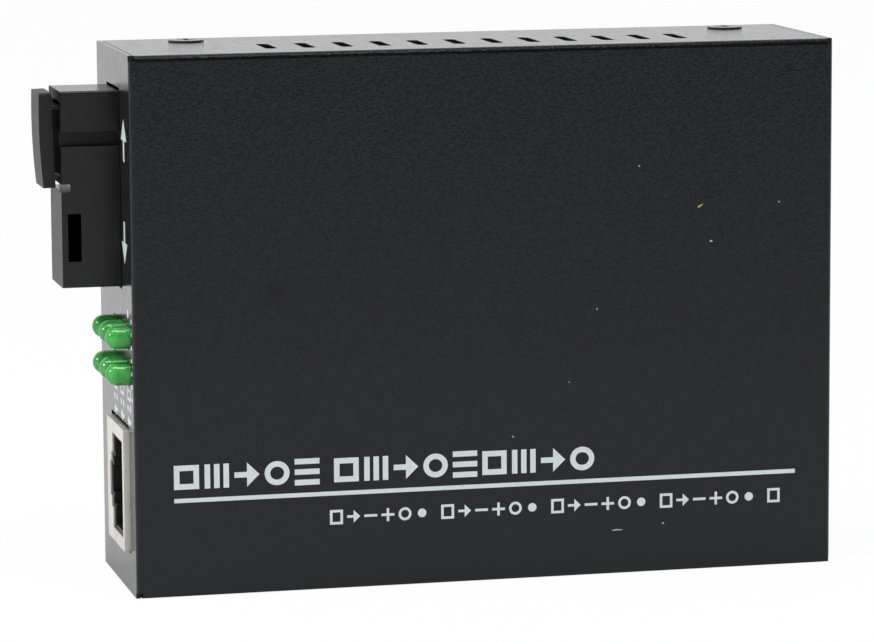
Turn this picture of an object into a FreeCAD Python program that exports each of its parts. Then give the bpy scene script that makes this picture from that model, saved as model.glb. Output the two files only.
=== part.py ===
import FreeCAD
import Part
import math
import os

from FreeCAD import Vector

# Fibre media converter, standing on one of its long narrow sides. All lengths are millimetres.
# X runs from the front panel to the rear panel, Y from the printed face to the base plate, Z up.
# The origin is the centre of the side that it stands on.

# Folded sheet case
case_length = 93.5
case_depth = 26.0
case_height = 70.0
sheet = 0.6
bend_inside = 0.15
fold_gap = 0.15

# How far a cutting shape runs past what it cuts
overcut = 1.0

# Flats that stand for a full turn on the LEDs and on round pieces inside the closed case
round_flats = 12

# Shares of the height that the network jack and the optical module leave free between them
spare_below_jack = 0.189
spare_above_module = 0.175

# Vent slots in both long sides
vent_count = 12
vent_pitch = 5.0
vent_width = 1.6
vent_length = 7.7
vent_shift = 0.5
vent_from_face = 10.05
vent_ease = 0.3

# Countersunk screws that hold the cover, and the chassis tabs that they go into. The upper ones stand
# proud by their heads' rim.
case_screw_head = 4.7
case_screw_rim = 0.25
case_screw_head_height = 0.7
case_screw_thread = 2.5
case_screw_length = 4.5
case_screw_front = 11.1
case_screw_rear = 8.5
case_screw_from_base = 5.0
countersink_gap = 0.15
thread_gap = 0.02
tab_width = 9.0
tab_reach = 9.2
tab_root = 2.0
tab_relief = 0.8
cross_width = 0.55
cross_reach = 2.4
cross_depth = 0.6

# Circuit board, which reaches a little past the jack below and the module above
board_thick = 1.6
board_margin_x = 0.5
board_past_jack = 0.8
board_past_module = 0.3
board_corner = 1.0
hole_gap = 0.1

# Standoffs, which take up the room under the board, and their screws
standoff_width = 5.0
standoff_from_edge = 3.0
standoff_behind_jack = 4.25
standoff_above_jack = 1.6
standoff_behind_module = 4.4
standoff_from_rear = 6.25
standoff_past_screw = 1.0
board_screw_thread = 3.0
board_screw_head = 5.5
board_screw_head_height = 2.0
board_screw_short = 1.6

# Optical module
module_width = 25.4
module_height = 9.6
module_length = 46.0
module_reach = 7.65
module_edge = 0.3
module_gap = 0.3
port_width = 9.05
port_height = 7.45
port_depth = 17.0
port_mouth = 0.4
port_from_top = 6.2
keyway_width = 1.9
keyway_length = 8.4
notch_width = 1.0
notch_depth = 1.15
notch_from_top = 12.45
window_width = 1.7
window_height = 6.2
window_depth = 3.0
window_from_front = 0.8
window_from_top = 18.9
module_pin = 0.5
module_pin_pitch = 2.54
module_pin_count = 9
module_pin_from_rear = 1.9
pin_tail = 1.3
pin_socket = 1.5

# Ferrule holder with its two latch arms, at the bottom of the optical port
sleeve_outside = 3.2
sleeve_bore = 2.5
sleeve_from_mouth = 5.5
holder_plate = 1.6
holder_gap = 0.05
latch_from_mouth = 9.6
latch_thick = 0.8
latch_width = 4.0
latch_hook = 0.7

# Dust plug, which leans a little in the port
plug_lean = 2.0
plug_body_width = 8.5
plug_body_height = 7.0
plug_body_length = 7.5
plug_bore = 5.4
plug_bore_depth = 6.6
plug_flange_width = 12.3
plug_flange_height = 6.8
plug_flange_thick = 1.55
plug_flange_crown = 0.22
plug_flange_gap = 0.72
plug_edge = 0.3

# LEDs, midway between the cover and the board in two rows, and their holders behind the front panel.
# The rows' middle is a share of the way up from the jack to the module.
led_width = 3.0
led_flange = 3.6
led_flange_thick = 1.0
led_length = 5.3
led_reach = 3.0
led_dome_rings = 3
led_dome_flat = 0.12
led_hole_gap = 0.15
led_row_names = ("upper", "lower")
led_row_place = 0.54
led_row_pitch = 4.75
led_pitch = 5.3
led_count = 3
led_fit = 0.05
holder_length = 7.0
holder_width = 4.4
holder_behind_panel = 0.2
holder_over_led = 2.0
lead_thick = 0.5
lead_spacing = 2.54
lead_first = 1.2
lead_step = 2.0
lead_gap = 0.08

# Shielded network jack
jack_width = 16.0
jack_height = 13.4
jack_length = 21.3
jack_reach = 0.8
jack_behind_cover = 3.8
jack_gap = 0.25
shield_thick = 0.25
shield_edge = 0.5
shield_foot = 0.3
shield_leg_width = 1.6
shield_leg_place = 9.0
insert_gap = 0.05
socket_width = 11.7
socket_height = 6.8
socket_depth = 13.0
socket_share_near = 0.355
latch_step_width = 6.4
latch_step_depth = 1.1
latch_slot_width = 3.6
latch_slot_depth = 2.1
shield_window_gap = 0.5
contact_count = 8
contact_pitch = 1.02
contact_width = 0.5
contact_thick = 0.35
contact_nose = 0.5
contact_gap = 0.05
contact_roof = 0.2
contact_fold = 2.2
contact_tip_back = 11.0
contact_tip_drop = 2.75
contact_pin_place = 16.0
contact_pin_step = 2.54

# Power inlet in the rear panel
inlet_width = 9.0
inlet_height = 11.0
inlet_length = 14.0
inlet_reach = 0.2
inlet_past_standoff = 1.0
inlet_collar = 3.4
inlet_waist = 0.5
inlet_corner = 1.5
inlet_gap = 0.25
inlet_bore = 6.4
inlet_bore_depth = 9.5
inlet_bore_from_board = 6.4
inlet_pin = 2.1
inlet_pin_back = 0.6
inlet_rivet = 3.4
inlet_rivet_thick = 0.5
inlet_strip_thick = 0.4
inlet_strip_width = 2.2
inlet_strip_gap = 0.05
inlet_spring_place = 8.0
inlet_spring_run = 5.0
inlet_spring_rise = 0.45

# Parts on the board. A place is (share of the board's length, share of its height).
transformer_size = (12.7, 9.5, 5.6)
transformer_behind_jack = 4.65
chip_size = (14.0, 14.0, 1.4)
chip_place = (0.558, 0.44)
memory_size = (4.0, 5.0, 1.5)
memory_place = (0.734, 0.775)
package_lift = 0.15
package_draft = 0.25
crystal_size = (11.2, 4.6, 3.5)
crystal_place = (0.382, 0.407)
crystal_flange = 0.5
crystal_flange_thick = 0.4
capacitor_width = 6.3
capacitor_height = 11.0
capacitor_places = ((0.8, 0.35), (0.8, 0.513))
inductor_size = (7.3, 7.3, 4.0)
inductor_place = (0.91, 0.425)
inductor_corner = 1.6
regulator_size = (6.1, 6.6, 2.3)
regulator_place = (0.904, 0.63)
regulator_tab = (3.6, 5.3, 0.55)

front_x = -case_length / 2
rear_x = case_length / 2
face_y = -case_depth / 2
base_y = case_depth / 2
base_inner_y = base_y - sheet
bend_outside = bend_inside + sheet
chassis_low_z = sheet + fold_gap
chassis_high_z = case_height - sheet - fold_gap
jack_near_y = face_y + sheet + jack_behind_cover
board_y = jack_near_y + jack_height
board_under_y = board_y + board_thick
tail_y = board_under_y + pin_tail
standoff_height = base_inner_y - board_under_y
board_screw_length = board_thick + standoff_height - board_screw_short
spare_height = case_height - jack_width - module_width
jack_z = spare_below_jack * spare_height + jack_width / 2
jack_top_z = jack_z + jack_width / 2
module_z = case_height - spare_above_module * spare_height - module_width / 2
module_low_z = module_z - module_width / 2
module_top_z = module_z + module_width / 2
led_rows_z = jack_top_z + led_row_place * (module_low_z - jack_top_z)
led_rows = (led_rows_z + led_row_pitch / 2, led_rows_z - led_row_pitch / 2)
board_front_x = front_x + sheet + board_margin_x
board_rear_x = rear_x - sheet - board_margin_x
board_low_z = jack_z - jack_width / 2 - board_past_jack
board_high_z = module_top_z + board_past_module
standoff_off_side = case_screw_length + standoff_past_screw + standoff_width / 2
standoff_low_z = max(board_low_z + standoff_from_edge, standoff_off_side)
standoff_high_z = min(board_high_z - standoff_from_edge, case_height - standoff_off_side)
inlet_z = standoff_low_z + standoff_width / 2 + inlet_past_standoff + inlet_width / 2


def on_yz(x):
    """Places flat (y, z) points in the plane at this x."""
    return lambda y, z: Vector(x, y, z)


def on_xy(z):
    """Places flat (x, y) points in the plane at this z."""
    return lambda x, y: Vector(x, y, z)


def on_xz(y):
    """Places flat (x, z) points in the plane at this y."""
    return lambda x, z: Vector(x, y, z)


def outline(points, radii, place):
    """A closed wire through flat points, with each corner rounded to its radius."""
    entries = []
    count = len(points)
    for i in range(count):
        corner = Vector(points[i][0], points[i][1], 0)
        back = Vector(points[i - 1][0], points[i - 1][1], 0) - corner
        ahead = Vector(points[(i + 1) % count][0], points[(i + 1) % count][1], 0) - corner
        if radii[i] == 0:
            entries.append((corner, None, corner))
            continue
        back.normalize()
        ahead.normalize()
        half = back.getAngle(ahead) / 2
        middle = back + ahead
        middle.normalize()
        setback = radii[i] / math.tan(half)
        nearest = corner + middle * (radii[i] / math.sin(half) - radii[i])
        entries.append((corner + back * setback, nearest, corner + ahead * setback))
    edges = []
    for i in range(count):
        start, nearest, end = (place(p.x, p.y) if p else None for p in entries[i])
        if nearest:
            edges.append(Part.Arc(start, nearest, end).toShape())
        following = place(entries[(i + 1) % count][0].x, entries[(i + 1) % count][0].y)
        if end.distanceToPoint(following) > 1e-6:
            edges.append(Part.makeLine(end, following))
    return Part.Wire(edges)


def prism(points, radii, place, along):
    """A solid of the rounded outline, carried along a vector."""
    return Part.Face(outline(points, radii, place)).extrude(along)


def sharp_prism(points, place, along):
    """A solid of the outline with sharp corners, carried along a vector."""
    return prism(points, [0] * len(points), place, along)


def rectangle(centre_u, centre_v, width, height):
    """The corners of a flat rectangle about its centre."""
    u0, u1 = centre_u - width / 2, centre_u + width / 2
    v0, v1 = centre_v - height / 2, centre_v + height / 2
    return [(u0, v0), (u1, v0), (u1, v1), (u0, v1)]


def eased(corners, cut):
    """A flat outline with each corner cut off by this much along both of its sides."""
    points = []
    for i, corner in enumerate(corners):
        here = Vector(*corner, 0)
        for other in (corners[i - 1], corners[(i + 1) % len(corners)]):
            way = Vector(*other, 0) - here
            way.normalize()
            points.append(((here + way * cut).x, (here + way * cut).y))
    return points


def block(x0, x1, y0, y1, z0, z1):
    """A plain block between its limits."""
    return Part.makeBox(x1 - x0, y1 - y0, z1 - z0, Vector(x0, y0, z0))


def turned(points, radii):
    """A solid turned about Z from a flat outline of (radius, height) points."""
    face = Part.Face(outline(points, radii, on_xz(0)))
    return face.revolve(Vector(0, 0, 0), Vector(0, 0, 1), 360)


def stand(shape, at, axis):
    """The shape with its own Z turned to an axis and its origin moved to a point."""
    moved = shape.copy()
    moved.Placement = FreeCAD.Placement(at, FreeCAD.Rotation(Vector(0, 0, 1), axis))
    return moved


def strip(points, bends, thick):
    """The flat outline, with its radii, of a strip that follows points; each has its middle line's bend."""
    left, right, left_radii, right_radii = [], [], [], []
    for i, (u, v) in enumerate(points):
        here = Vector(u, v, 0)
        before = here - Vector(*points[i - 1], 0) if i else None
        after = Vector(*points[i + 1], 0) - here if i < len(points) - 1 else None
        before, after = before or after, after or before
        before = before.normalize()
        after = after.normalize()
        across = Vector(-before.y - after.y, before.x + after.x, 0)
        across.normalize()
        reach = thick / 2 / across.dot(Vector(-before.y, before.x, 0))
        turn = before.x * after.y - before.y * after.x
        side = thick / 2 if turn > 0 else -thick / 2
        left.append((u + across.x * reach, v + across.y * reach))
        right.append((u - across.x * reach, v - across.y * reach))
        left_radii.append(bends[i] - side if bends[i] else 0)
        right_radii.append(bends[i] + side if bends[i] else 0)
    return left + right[::-1], left_radii + right_radii[::-1]


def join(shapes):
    """One solid of shapes that touch or overlap."""
    return shapes[0].multiFuse(shapes[1:]).removeSplitter()


def cross_recess():
    """The space of a screw's cross recess, below zero height."""
    a = cross_width / 2
    b = cross_reach / 2
    points = [(a, -b), (a, -a), (b, -a), (b, a), (a, a), (a, b)]
    points += [(-x, -y) for x, y in points]
    return sharp_prism(points, on_xy(0), Vector(0, 0, -cross_depth))


def make_cover():
    """The folded cover: printed face, two panels and two long sides, parted where the folds meet."""
    side_profile = [
        (base_y, 0), (face_y, 0), (face_y, case_height), (base_y, case_height),
        (base_y, case_height - sheet), (face_y + sheet, case_height - sheet),
        (face_y + sheet, sheet), (base_y, sheet),
    ]
    panel_profile = [
        (front_x, base_y), (front_x, face_y), (rear_x, face_y), (rear_x, base_y),
        (rear_x - sheet, base_y), (rear_x - sheet, face_y + sheet),
        (front_x + sheet, face_y + sheet), (front_x + sheet, base_y),
    ]
    radii = [0, bend_outside, bend_outside, 0, 0, bend_inside, bend_inside, 0]
    long_run = Vector(case_length - 2 * bend_outside, 0, 0)
    high_run = Vector(0, 0, case_height - 2 * bend_outside)
    pieces = [
        prism(side_profile, radii, on_yz(front_x + bend_outside), long_run),
        prism(panel_profile, radii, on_xy(bend_outside), high_run),
    ]
    for x in (front_x, rear_x - sheet):
        pieces.append(block(x, x + sheet, face_y + bend_outside, base_y, 0, case_height))
    cuts = [vent_slot(i) for i in range(vent_count)]
    cuts += [stand(countersink(), at, axis) for at, axis in case_screw_seats()]
    return join(pieces).cut(cuts + front_cutouts() + [rear_cutout()])


def vent_slot(i):
    """One slot with its ends eased by flats, through both long sides."""
    x = vent_shift + (i - (vent_count - 1) / 2) * vent_pitch
    slot = rectangle(x, face_y + vent_from_face, vent_width, vent_length)
    points = eased(slot, vent_width * vent_ease)
    through = Vector(0, 0, case_height + 2 * overcut)
    return sharp_prism(points, on_xy(-overcut), through)


def case_screw_seats():
    """The top of each cover screw's head on a long side, and the way that the screw points."""
    seats = []
    for x in (front_x + case_screw_front, rear_x - case_screw_rear):
        y = base_y - case_screw_from_base
        seats.append((Vector(x, y, 0), Vector(0, 0, 1)))
        seats.append((Vector(x, y, case_height + case_screw_rim), Vector(0, 0, -1)))
    return seats


def countersink():
    """The space of a countersunk hole, with its clearance, from the outside inwards."""
    wide = case_screw_head / 2 + countersink_gap
    narrow = case_screw_thread / 2 + countersink_gap
    points = [
        (0, 0), (wide, 0), (wide, case_screw_rim), (narrow, case_screw_head_height),
        (narrow, case_screw_length), (0, case_screw_length),
    ]
    return turned(points, [0] * len(points))


def make_case_screws():
    """Four countersunk screws with a short straight rim round their heads."""
    head = case_screw_head / 2
    thread = case_screw_thread / 2
    points = [
        (0, 0), (head, 0), (head, case_screw_rim), (thread, case_screw_head_height),
        (thread, case_screw_length), (0, case_screw_length),
    ]
    recess = stand(cross_recess(), Vector(0, 0, 0), Vector(0, 0, -1))
    screw = turned(points, [0] * len(points)).cut(recess)
    return Part.makeCompound([stand(screw, at, axis) for at, axis in case_screw_seats()])


def side_tab(x):
    """A small tab folded from the base plate along the underside, for a cover screw."""
    low = chassis_low_z
    end_y = base_y - tab_reach
    points = [
        (base_y, low + tab_root), (base_y, low), (end_y, low),
        (end_y, low + sheet), (base_inner_y, low + sheet), (base_inner_y, low + tab_root),
    ]
    radii = [0, bend_outside, 0, 0, bend_inside, 0]
    tab = prism(points, radii, on_yz(x - tab_width / 2), Vector(tab_width, 0, 0))
    trim = eased(rectangle(x, end_y + tab_reach, tab_width, 2 * tab_reach), tab_root)
    return tab.common(sharp_prism(trim, on_xy(0), Vector(0, 0, case_height / 2)))


def make_chassis():
    """The chassis plate: the plain big face, set between the cover's walls, and its four side tabs."""
    inset = sheet + fold_gap
    plate = block(
        front_x + inset, rear_x - inset, base_inner_y, base_y, chassis_low_z, chassis_high_z,
    )
    middle = Vector(0, 0, case_height / 2)
    up = Vector(0, 0, 1)
    roots = []
    tabs = []
    for at, axis in case_screw_seats()[::2]:
        half = tab_width / 2 + tab_relief
        root = block(
            at.x - half, at.x + half, base_inner_y - overcut, base_y + overcut, 0, chassis_low_z + tab_root,
        )
        hole = Part.makeCylinder(case_screw_thread / 2 + thread_gap, case_screw_length, at, axis)
        tab = side_tab(at.x).cut(hole)
        roots += [root, root.mirror(middle, up)]
        tabs += [tab, tab.mirror(middle, up)]
    return join([plate.cut(roots)] + tabs)


def front_cutouts():
    """The openings of the front panel: module, network jack and LEDs."""
    deep = sheet + 2 * overcut
    through = Vector(deep, 0, 0)
    start = on_yz(front_x - overcut)
    module = rectangle(
        port_y, module_z, module_height + 2 * module_gap, module_width + 2 * module_gap
    )
    jack = rectangle(
        board_y - jack_height / 2, jack_z, jack_height + 2 * jack_gap, jack_width + 2 * jack_gap
    )
    cuts = [sharp_prism(module, start, through), sharp_prism(jack, start, through)]
    for row in led_rows:
        for i in range(led_count):
            at = Vector(front_x - overcut, led_y(i), row)
            cuts.append(Part.makeCylinder(led_width / 2 + led_hole_gap, deep, at, Vector(1, 0, 0)))
    return cuts


def rear_cutout():
    """The opening of the rear panel for the power inlet."""
    points = rectangle(
        board_y - inlet_height / 2, inlet_z, inlet_height + 2 * inlet_gap, inlet_width + 2 * inlet_gap
    )
    through = Vector(sheet + 2 * overcut, 0, 0)
    return sharp_prism(points, on_yz(rear_x - sheet - overcut), through)


def board_point(place):
    """The point on the board's component side at these shares of its length and height."""
    along, up = place
    x = board_front_x + along * (board_rear_x - board_front_x)
    z = board_low_z + up * (board_high_z - board_low_z)
    return Vector(x, board_y, z)


def standoff_points(y):
    """Where the standoffs are, at this y: behind the jack, behind the module and in both rear corners."""
    corner_x = rear_x - standoff_from_rear
    return [
        Vector(jack_rear_x + standoff_behind_jack, y, jack_top_z + standoff_above_jack),
        Vector(module_rear_x + standoff_behind_module, y, standoff_high_z),
        Vector(corner_x, y, standoff_low_z),
        Vector(corner_x, y, standoff_high_z),
    ]


def flat_ring(radius, height):
    """The points of a level ring of short flats round the Z axis."""
    turns = [2 * math.pi * (i + 0.5) / round_flats for i in range(round_flats)]
    return [Vector(radius * math.cos(a), radius * math.sin(a), height) for a in turns]


def ringed(levels):
    """A solid of flat faces between rings, each given as its radius and height."""
    rings = [flat_ring(radius, height) for radius, height in levels]
    faces = [Part.Face(Part.makePolygon(ring + ring[:1])) for ring in (rings[0], rings[-1])]
    for low, high in zip(rings, rings[1:]):
        for i in range(round_flats):
            around = [low[i - 1], low[i], high[i], high[i - 1], low[i - 1]]
            faces.append(Part.Face(Part.makePolygon(around)))
    shell = Part.makeShell(faces)
    shell.sewShape()
    solid = Part.makeSolid(shell)
    return solid if solid.Volume > 0 else solid.reversed()


def make_board():
    """The circuit board with its screw holes and every lead's hole."""
    corners = [
        (board_front_x, board_low_z), (board_rear_x, board_low_z),
        (board_rear_x, board_high_z), (board_front_x, board_high_z),
    ]
    points = eased(corners, board_corner)
    board = sharp_prism(points, on_xz(board_y), Vector(0, board_thick, 0))
    start_y = board_y - overcut
    deep = board_thick + 2 * overcut
    radius = board_screw_thread / 2 + hole_gap
    hole = ringed([(radius, 0), (radius, deep)])
    holes = [stand(hole, at, Vector(0, 1, 0)) for at in standoff_points(start_y)]
    for x, z, thick, width in lead_drops():
        slot = rectangle(x, z, thick + 2 * hole_gap, width + 2 * hole_gap)
        holes.append(sharp_prism(slot, on_xz(start_y), Vector(0, deep, 0)))
    return board.cut(holes)


def lead_drops():
    """Every lead that enters the board: its x and z, and its size along each."""
    drops = [(at.x, at.z, module_pin, module_pin) for at in module_pin_points()]
    for row in led_rows:
        for i in range(led_count):
            for way in (-1, 1):
                drops.append((lead_x(i), row + way * lead_spacing / 2, lead_thick, lead_thick))
    for i in range(contact_count):
        drops.append((contact_pin_x(i), contact_z(i), contact_thick, contact_width))
    leg_from_middle = (jack_width - shield_thick) / 2
    for z in (jack_z - leg_from_middle, jack_z + leg_from_middle):
        drops.append((jack_front_x + shield_leg_place, z, shield_leg_width, shield_thick))
    for x in (inlet_spring_x(), inlet_rear_x() - inlet_strip_thick / 2):
        drops.append((x, inlet_z, inlet_strip_thick, inlet_strip_width))
    return drops


def make_standoffs():
    """Four hexagonal standoffs on the base plate, each tapped right through."""
    corner = standoff_width / math.sqrt(3)
    turns = [math.radians(60 * i) for i in range(6)]
    points = [(corner * math.cos(a), corner * math.sin(a)) for a in turns]
    standoff = sharp_prism(points, on_xy(0), Vector(0, 0, standoff_height))
    radius = board_screw_thread / 2 + thread_gap
    standoff = standoff.cut(ringed([(radius, -overcut), (radius, standoff_height + overcut)]))
    down = Vector(0, 1, 0)
    return Part.makeCompound([stand(standoff, at, down) for at in standoff_points(board_under_y)])


def make_board_screws():
    """Four cheese-headed screws that hold the board on its standoffs."""
    head = board_screw_head / 2
    thread = board_screw_thread / 2
    screw = ringed([(head, -board_screw_head_height), (head, 0), (thread, 0), (thread, board_screw_length)])
    down = Vector(0, 1, 0)
    return Part.makeCompound([stand(screw, at, down) for at in standoff_points(board_y)])


module_front_x = front_x - module_reach
module_rear_x = module_front_x + module_length
module_near_y = board_y - module_height
port_y = board_y - module_height / 2
port_z = module_top_z - port_from_top


def make_module_housing():
    """The moulded module body: one square port, a keyway, a through notch and a side window."""
    outer = rectangle(port_y, module_z, module_height, module_width)
    radii = [module_edge] * len(outer)
    body = prism(outer, radii, on_yz(module_front_x), Vector(module_length, 0, 0))
    port = sharp_prism(
        rectangle(port_y, port_z, port_height, port_width),
        on_yz(module_front_x - overcut), Vector(port_depth + overcut, 0, 0),
    )
    rims = []
    for x, grow in ((module_front_x, port_mouth), (module_front_x + port_mouth, 0)):
        points = rectangle(port_y, port_z, port_height + 2 * grow, port_width + 2 * grow)
        rims.append(outline(points, [0] * len(points), on_yz(x)))
    mouth = Part.makeLoft(rims, True, True)
    keyway = block(
        module_front_x - overcut, module_front_x + keyway_length,
        module_near_y - overcut, port_y, port_z - keyway_width / 2, port_z + keyway_width / 2,
    )
    notch_z = module_top_z - notch_from_top
    notch = block(
        module_front_x - overcut, module_front_x + notch_depth, module_near_y - overcut,
        board_y + overcut, notch_z - notch_width / 2, notch_z + notch_width / 2,
    )
    window_x = module_front_x + window_from_front
    window_z = module_top_z - window_from_top
    window = block(
        window_x, window_x + window_width, module_near_y - overcut, module_near_y + window_depth,
        window_z - window_height / 2, window_z + window_height / 2,
    )
    pins = [pin_at(at, module_pin + 2 * thread_gap) for at in module_pin_points()]
    return body.cut([port, mouth, keyway, notch, window] + pins)


def module_pin_points():
    """Where the module's pins meet the board."""
    x = module_rear_x - module_pin_from_rear
    first = module_z - (module_pin_count - 1) / 2 * module_pin_pitch
    return [Vector(x, board_y, first + i * module_pin_pitch) for i in range(module_pin_count)]


def pin_at(at, width):
    """A square pin that stands in the module and passes through the board."""
    half = width / 2
    return block(at.x - half, at.x + half, at.y - pin_socket, tail_y, at.z - half, at.z + half)


def make_module_pins():
    """The row of pins under the module."""
    return Part.makeCompound([pin_at(at, module_pin) for at in module_pin_points()])


def make_ferrule_holder():
    """The sleeve that takes the ferrule, its plate and its two latch arms, one moulding."""
    bottom_x = module_front_x + port_depth
    plate_x = bottom_x - holder_plate
    plate = sharp_prism(
        rectangle(port_y, port_z, port_height - 2 * holder_gap, port_width - 2 * holder_gap),
        on_yz(plate_x), Vector(holder_plate, 0, 0),
    )
    tip_x = module_front_x + sleeve_from_mouth
    tip = Vector(tip_x, port_y, port_z)
    inwards = Vector(1, 0, 0)
    sleeve = Part.makeCylinder(sleeve_outside / 2, bottom_x - tip_x, tip, inwards)
    bore = Part.makeCylinder(sleeve_bore / 2, plate_x - tip_x, tip, inwards)
    hook_x = module_front_x + latch_from_mouth
    outside = port_width / 2 - holder_gap - latch_hook / 2
    points = [
        (plate_x, outside), (hook_x, outside), (hook_x, outside - latch_thick),
        (hook_x + latch_hook, outside - latch_thick - latch_hook),
        (hook_x + 2 * latch_hook, outside - latch_thick), (plate_x, outside - latch_thick),
    ]
    along = Vector(0, latch_width, 0)
    arms = []
    for way in (1, -1):
        turned_points = [(x, port_z + way * z) for x, z in points]
        arms.append(sharp_prism(turned_points, on_xz(port_y - latch_width / 2), along))
    return join([plate, sleeve] + arms).cut(bore)


def make_dust_plug():
    """The dust plug: a hollow square body and a wide crowned flange, leaning in the port."""
    body_x = module_front_x
    flange_x = body_x - plug_flange_gap
    points = eased(rectangle(port_y, port_z, plug_body_height, plug_body_width), plug_edge)
    along = Vector(plug_flange_gap + plug_edge + plug_body_length, 0, 0)
    body = sharp_prism(points, on_yz(flange_x - plug_edge), along)
    half = plug_flange_width / 2
    outer_x = flange_x - plug_flange_thick
    z0, z1 = port_z - half, port_z + half
    edges = [
        Part.makeLine(Vector(outer_x, 0, z1), Vector(flange_x, 0, z1)),
        Part.makeLine(Vector(flange_x, 0, z1), Vector(flange_x, 0, z0)),
        Part.makeLine(Vector(flange_x, 0, z0), Vector(outer_x, 0, z0)),
        Part.Arc(
            Vector(outer_x, 0, z0), Vector(outer_x - plug_flange_crown, 0, port_z), Vector(outer_x, 0, z1)
        ).toShape(),
    ]
    flange = Part.Face(Part.Wire(edges)).extrude(Vector(0, plug_flange_height, 0))
    flange.translate(Vector(0, port_y - plug_flange_height / 2, 0))
    corners = [e for e in flange.Edges if is_along_x(e)]
    flange = flange.makeFillet(plug_edge, corners)
    bore = Part.makeCylinder(
        plug_bore / 2, plug_bore_depth + overcut,
        Vector(body_x + plug_body_length - plug_bore_depth, port_y, port_z), Vector(1, 0, 0),
    )
    plug = join([body, flange]).cut(bore)
    plug.rotate(Vector(body_x + plug_body_length / 2, port_y, port_z), Vector(0, 1, 0), -plug_lean)
    return plug


def is_along_x(edge):
    """Whether a straight edge runs along X."""
    ends = edge.Vertexes
    way = ends[-1].Point - ends[0].Point
    return edge.Curve.TypeId == "Part::GeomLine" and abs(way.x) > 0.99 * way.Length


def led_y(i):
    """The y of an LED in its row, counted from the cover towards the board."""
    return (face_y + sheet + board_y) / 2 + (i - (led_count - 1) / 2) * led_pitch


def make_led(i, row):
    """One LED with its dome out of the front panel and its flange behind, round in short flats."""
    r = led_width / 2
    base = led_reach - led_length
    shoulder = led_reach - r
    top = base + led_flange_thick
    levels = [(led_flange / 2, base), (led_flange / 2, top), (r, top), (r, shoulder)]
    for step in range(1, led_dome_rings):
        angle = math.pi / 2 * step / led_dome_rings
        levels.append((r * math.cos(angle), shoulder + r * math.sin(angle)))
    levels.append((r * led_dome_flat, led_reach))
    return stand(ringed(levels), Vector(front_x, led_y(i), row), Vector(-1, 0, 0))


led_base_x = front_x + led_length - led_reach
holder_x = front_x + sheet + holder_behind_panel


def make_led_holder(row):
    """The block behind the panel that holds a row of LEDs off the board."""
    y0 = led_y(0) - holder_over_led
    points = rectangle(
        (y0 + board_y) / 2, row, board_y - y0, holder_width
    )
    body = sharp_prism(points, on_yz(holder_x), Vector(holder_length, 0, 0))
    cuts = []
    for i in range(led_count):
        at = Vector(holder_x - overcut, led_y(i), row)
        radius = led_flange / 2 + led_fit
        pocket = ringed([(radius, 0), (radius, led_base_x + led_fit - at.x)])
        cuts.append(stand(pocket, at, Vector(1, 0, 0)))
        half = lead_thick / 2 + lead_gap
        end_x = holder_x + holder_length + overcut
        for way in (-1, 1):
            z = row + way * lead_spacing / 2
            cuts.append(block(holder_x, end_x, at.y - half, at.y + half, z - half, z + half))
    return body.cut(cuts)


def lead_x(i):
    """Where an LED's leads turn down to the board: the higher LED's are further back."""
    return holder_x + holder_length + lead_first + (led_count - 1 - i) * lead_step


def lead_solid(i, row, way):
    """One lead of an LED, bent once down to the board."""
    path = [(led_base_x, led_y(i)), (lead_x(i), led_y(i)), (lead_x(i), tail_y)]
    points, radii = strip(path, [0] * len(path), lead_thick)
    z = row + way * lead_spacing / 2 - lead_thick / 2
    return prism(points, radii, on_xy(z), Vector(0, 0, lead_thick))


def make_led_leads():
    """The bent leads of all LEDs."""
    leads = []
    for row in led_rows:
        for i in range(led_count):
            leads += [lead_solid(i, row, way) for way in (-1, 1)]
    return Part.makeCompound(leads)


jack_front_x = front_x - jack_reach
jack_rear_x = jack_front_x + jack_length
jack_spare_y = jack_height - socket_height - latch_slot_depth
socket_near_y = jack_near_y + socket_share_near * jack_spare_y
contact_roof_y = socket_near_y - contact_roof


def socket_outline(grow):
    """The flat outline of the network socket with its stepped latch slot."""
    near = socket_near_y - grow
    far = socket_near_y + socket_height + grow
    half = socket_width / 2 + grow
    step = latch_step_width / 2 + grow
    slot = latch_slot_width / 2 + grow
    one_side = [
        (near, half), (far, half), (far, step), (far + latch_step_depth, step),
        (far + latch_step_depth, slot), (far + latch_slot_depth, slot),
    ]
    points = [(y, jack_z + z) for y, z in one_side]
    return points + [(y, jack_z - z) for y, z in one_side[::-1]]


def make_jack_shield():
    """The folded shield round the jack, open towards the board, with a leg each side."""
    foot_y = board_y - shield_foot
    outer = [
        (jack_near_y, jack_z - jack_width / 2), (jack_near_y, jack_z + jack_width / 2),
        (foot_y, jack_z + jack_width / 2), (foot_y, jack_z - jack_width / 2),
    ]
    inner_half = jack_width / 2 - shield_thick
    inner = [
        (jack_near_y + shield_thick, jack_z - inner_half), (jack_near_y + shield_thick, jack_z + inner_half),
        (foot_y + overcut, jack_z + inner_half), (foot_y + overcut, jack_z - inner_half),
    ]
    edge = shield_edge
    shell = prism(outer, [edge, edge, 0, 0], on_yz(jack_front_x), Vector(jack_length, 0, 0))
    edge = shield_edge - shield_thick
    room = prism(
        inner, [edge, edge, 0, 0], on_yz(jack_front_x + shield_thick),
        Vector(jack_length - 2 * shield_thick, 0, 0),
    )
    window = socket_outline(shield_window_gap)
    mouth = sharp_prism(
        window, on_yz(jack_front_x - overcut), Vector(shield_thick + 2 * overcut, 0, 0)
    )
    shell = shell.cut([room, mouth])
    x = jack_front_x + shield_leg_place
    legs = []
    half = shield_leg_width / 2
    for z in (jack_z - jack_width / 2, jack_z + jack_width / 2 - shield_thick):
        legs.append(block(x - half, x + half, foot_y - overcut, tail_y, z, z + shield_thick))
    return join([shell] + legs)


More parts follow.
